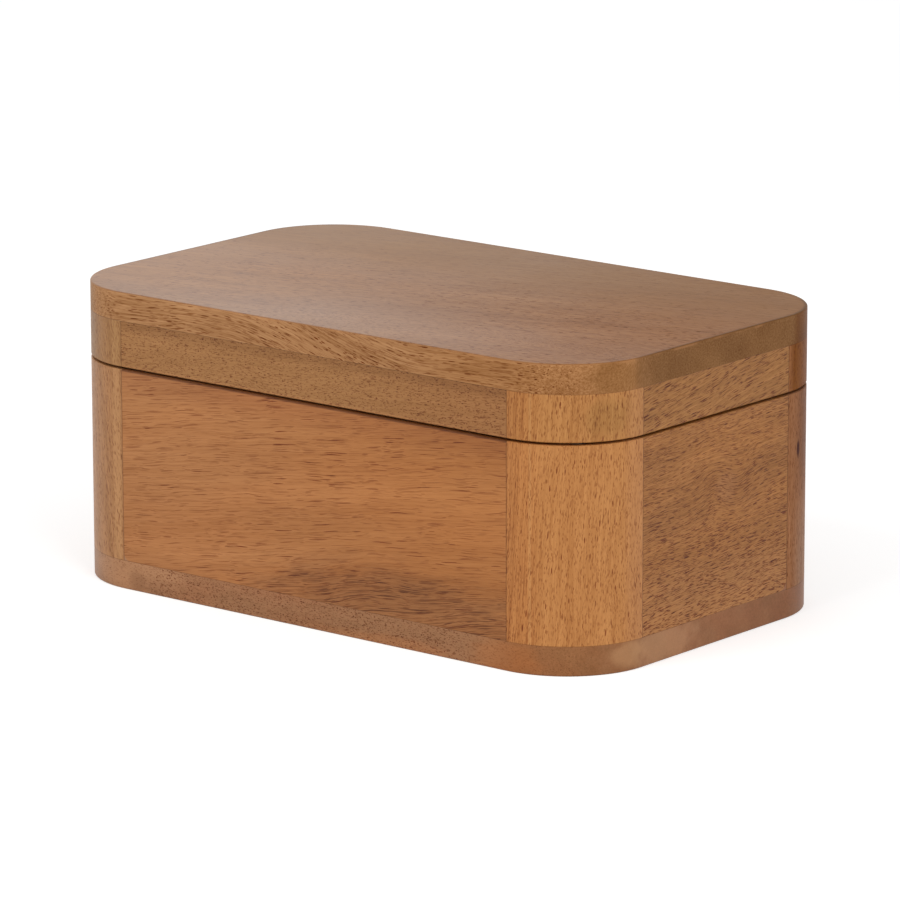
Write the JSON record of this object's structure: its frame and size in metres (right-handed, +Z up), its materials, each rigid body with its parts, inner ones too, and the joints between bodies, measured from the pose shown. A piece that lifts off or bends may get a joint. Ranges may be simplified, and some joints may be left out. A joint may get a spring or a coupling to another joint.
{
  "type": "storage box",
  "caption": "Wooden storage box with rounded corners and a deep hinged lid, built from solid boards, panels and corner posts, with stop hinges at the back.",
  "frame": {"origin": "middle of the underside of the base board", "axes": "+X along the box to the right, +Y from the front to the hinges at the back, +Z up"},
  "size_m": [0.3, 0.1886, 0.135],
  "materials": {
    "lid_board_wood": "satin clear finish, grain along the length",
    "lid_rail_wood": "satin clear finish, grain along each rail",
    "panel_wood": "satin clear finish, grain level",
    "post_wood": "satin clear finish, grain upright",
    "base_wood": "satin clear finish, grain along the length",
    "spline_wood": "plain beech, not finished",
    "hinge_brass": "brushed",
    "screw_brass": "plain",
    "pad_felt": "dark felt"
  },
  "bodies": {
    "box": {"base_board": "base_wood", "front_panel": "panel_wood", "back_panel": "panel_wood", "left_panel": "panel_wood", "right_panel": "panel_wood", "front_left_post": "post_wood", "front_right_post": "post_wood", "back_left_post": "post_wood", "back_right_post": "post_wood", "base_splines": "spline_wood", "left_hinge_box_leaf": "hinge_brass", "right_hinge_box_leaf": "hinge_brass", "left_hinge_pin": "hinge_brass", "right_hinge_pin": "hinge_brass", "box_leaf_screws": "screw_brass", "buffer_pads": "pad_felt"},
    "lid": {"lid_board": "lid_board_wood", "lid_front_rail": "lid_rail_wood", "lid_back_rail": "lid_rail_wood", "lid_left_rail": "lid_rail_wood", "lid_right_rail": "lid_rail_wood", "lid_front_left_block": "post_wood", "lid_front_right_block": "post_wood", "lid_back_left_block": "post_wood", "lid_back_right_block": "post_wood", "lid_splines": "spline_wood", "left_hinge_lid_leaf": "hinge_brass", "right_hinge_lid_leaf": "hinge_brass", "lid_leaf_screws": "screw_brass"}
  },
  "joints": [
    {"name": "lid_hinge", "type": "hinge", "parent": "box", "child": "lid", "pos_m": [0, 0.0931, 0.1006], "axis": [-1, 0, 0], "range_deg": [0, 95]}
  ]
}
